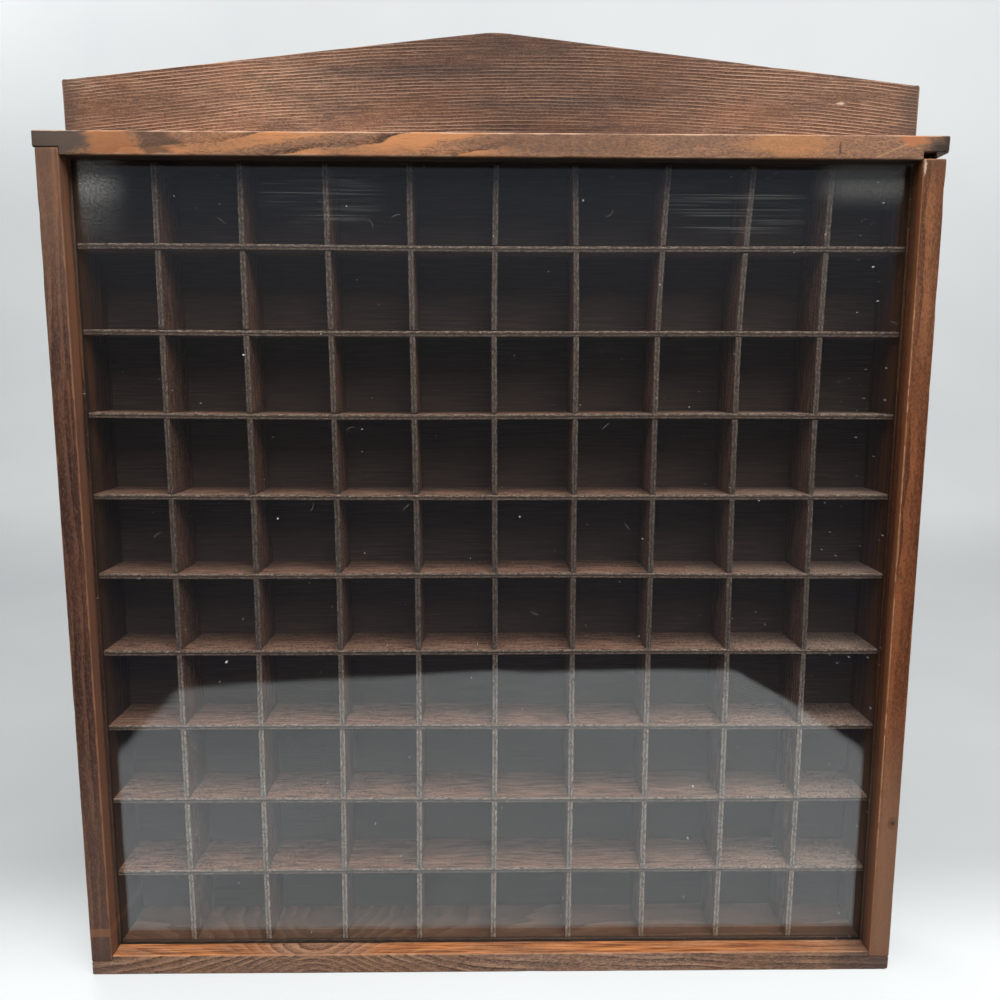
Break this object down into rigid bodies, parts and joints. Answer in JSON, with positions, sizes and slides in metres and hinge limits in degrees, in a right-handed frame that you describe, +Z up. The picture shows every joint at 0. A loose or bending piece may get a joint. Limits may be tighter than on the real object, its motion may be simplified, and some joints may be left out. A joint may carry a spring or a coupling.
{
  "type": "miniature display case",
  "caption": "Shallow wooden wall case with an egg-crate of small square compartments behind a lift-out glass pane, topped by a low pointed pediment with keyhole hangers behind.",
  "frame": {"origin": "middle of the base, on the surface that the case stands on", "axes": "+Z up, +X to the right as seen from the front, +Y from the glass front to the back"},
  "size_m": [0.392, 0.044, 0.4436],
  "materials": {
    "case_wood": "dark reddish-brown stain, worn satin",
    "grid_ply": "thin plywood strips, brown stain, pale worn edges",
    "back_ply": "thin plywood, dark brown stain",
    "glass": "clear, dusty",
    "brad_steel": "dull, tarnished",
    "screw_steel": "zinc plated, dulled",
    "hanger_steel": "zinc plated, dulled"
  },
  "bodies": {
    "case": {"bottom_board": "case_wood", "top_board": "case_wood", "left_side": "case_wood", "right_side": "case_wood", "pediment": "case_wood", "shelf_1": "grid_ply", "shelf_2": "grid_ply", "shelf_3": "grid_ply", "shelf_4": "grid_ply", "shelf_5": "grid_ply", "shelf_6": "grid_ply", "shelf_7": "grid_ply", "shelf_8": "grid_ply", "shelf_9": "grid_ply", "divider_1": "grid_ply", "divider_2": "grid_ply", "divider_3": "grid_ply", "divider_4": "grid_ply", "divider_5": "grid_ply", "divider_6": "grid_ply", "divider_7": "grid_ply", "divider_8": "grid_ply", "divider_9": "grid_ply", "back_panel": "back_ply", "corner_brads_top": "brad_steel", "corner_brads_bottom": "brad_steel", "back_panel_brads": "brad_steel", "pediment_screws": "screw_steel", "hanger_screws": "screw_steel", "hanger_plate_left": "hanger_steel", "hanger_plate_right": "hanger_steel"},
    "glass": {"glass_pane": "glass"}
  },
  "joints": [
    {"name": "glass_lift", "type": "slide", "parent": "case", "child": "glass", "axis": [0, 0, 1], "range_m": [0, 0.39]}
  ]
}
